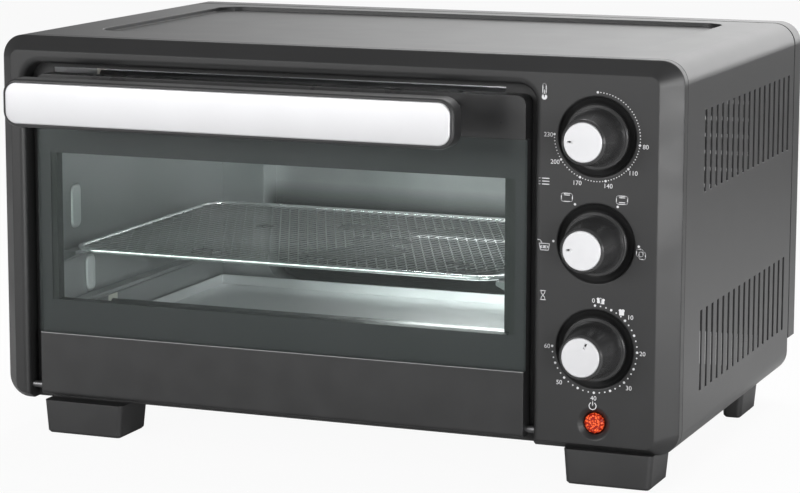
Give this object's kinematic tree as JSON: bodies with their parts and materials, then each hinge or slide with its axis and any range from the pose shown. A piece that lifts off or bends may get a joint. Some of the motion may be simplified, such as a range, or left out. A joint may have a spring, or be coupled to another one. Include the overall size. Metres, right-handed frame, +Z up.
{
  "type": "air fryer oven",
  "caption": "Countertop air fryer oven with a drop-down glass door, silver bar handle and three turning knobs on a side panel.",
  "frame": {"origin": "on the worktop, under the middle of the whole object", "axes": "+X to the right seen from the front, +Y to the back, +Z up"},
  "size_m": [0.41, 0.312, 0.2339],
  "materials": {
    "body_paint": "textured charcoal paint",
    "frame_plastic": "fine matt moulded black",
    "chassis_steel": "plain plated sheet",
    "black_trim": "matt black",
    "cavity_steel": "aluminised sheet, dull shine",
    "tray_steel": "aluminised sheet",
    "wire_steel": "bright wire",
    "net_coating": "dark coated net",
    "element_sheath": "dull grey tube",
    "insulator": "white ceramic",
    "fan_aluminium": "bare sheet",
    "shaft_steel": "turned",
    "motor_iron": "stacked iron",
    "switch_body": "dark resin",
    "fastener": "plated",
    "lamp_lens": "clear orange red, lit",
    "door_gloss": "satin black",
    "door_glass": "tinted, with a dark printed border",
    "door_frame": "black",
    "handle_metal": "bright satin silver",
    "foot_plastic": "matt moulded",
    "knob_plastic": "satin black",
    "knob_metal": "spun silver"
  },
  "bodies": {
    "oven_body": {"cabinet_wrap": "body_paint", "front_frame": "frame_plastic", "front_chassis": "chassis_steel", "base_plate": "chassis_steel", "rear_cover": "body_paint", "cord_gland": "black_trim", "cavity_wall_left": "cavity_steel", "cavity_wall_right": "cavity_steel", "cavity_floor": "cavity_steel", "cavity_ceiling": "cavity_steel", "cavity_back": "cavity_steel", "upper_element_front": "element_sheath", "upper_element_rear": "element_sheath", "lower_element_front": "element_sheath", "lower_element_rear": "element_sheath", "element_insulators": "insulator", "fan_guard": "cavity_steel", "fan_motor": "motor_iron", "motor_bracket": "chassis_steel", "thermostat": "switch_body", "function_switch": "switch_body", "timer": "switch_body", "timer_bell": "chassis_steel", "control_nuts": "fastener", "lamp_lens": "lamp_lens", "lamp_body": "switch_body", "foot_front_left": "foot_plastic", "foot_front_right": "foot_plastic", "foot_rear_left": "foot_plastic", "foot_rear_right": "foot_plastic", "rear_cover_screws": "fastener", "frame_screws": "fastener", "foot_screws": "fastener"},
    "door": {"door_top_rail": "door_gloss", "door_bottom_rail": "frame_plastic", "door_glass": "door_glass", "door_inner_frame": "door_frame", "hinge_pins": "fastener", "handle_bar": "frame_plastic", "handle_insert": "handle_metal", "handle_posts": "frame_plastic", "handle_screws": "fastener"},
    "mesh_tray": {"tray_rim": "wire_steel", "tray_net": "net_coating"},
    "crumb_pan": {"crumb_tray": "tray_steel"},
    "temperature_control": {"temperature_knob": "knob_plastic", "temperature_cap": "knob_metal", "temperature_shaft": "shaft_steel"},
    "function_control": {"function_knob": "knob_plastic", "function_cap": "knob_metal", "function_shaft": "shaft_steel"},
    "timer_control": {"timer_knob": "knob_plastic", "timer_cap": "knob_metal", "timer_shaft": "shaft_steel"},
    "fan": {"fan_impeller": "fan_aluminium", "fan_shaft": "shaft_steel"}
  },
  "joints": [
    {"name": "door_hinge", "type": "hinge", "parent": "oven_body", "child": "door", "pos_m": [0, -0.102, 0.0278], "axis": [1, 0, 0], "range_deg": [0, 80]},
    {"name": "tray_slide", "type": "slide", "parent": "oven_body", "child": "mesh_tray", "axis": [0, -1, 0], "range_m": [0, 0.0605]},
    {"name": "crumb_slide", "type": "slide", "parent": "oven_body", "child": "crumb_pan", "axis": [0, -1, 0], "range_m": [0, 0.0285]},
    {"name": "temperature_turn", "type": "hinge", "parent": "oven_body", "child": "temperature_control", "pos_m": [0.1588, -0.096, 0.1922], "axis": [0, 1, 0], "range_deg": [-270, 0]},
    {"name": "function_turn", "type": "hinge", "parent": "oven_body", "child": "function_control", "pos_m": [0.1588, -0.096, 0.13445], "axis": [0, 1, 0], "range_deg": [0, 180]},
    {"name": "timer_turn", "type": "hinge", "parent": "oven_body", "child": "timer_control", "pos_m": [0.1588, -0.096, 0.0767], "axis": [0, 1, 0], "range_deg": [-22.5, 247.5]},
    {"name": "fan_spin", "type": "hinge", "parent": "oven_body", "child": "fan", "pos_m": [0.1028, 0.034, 0.1625], "axis": [1, 0, 0], "continuous": true}
  ],
  "couplings": [
    {"joint": "tray_slide", "follows": "door_hinge", "m_per_rad": 0.043},
    {"joint": "crumb_slide", "follows": "door_hinge", "m_per_rad": 0.02}
  ]
}
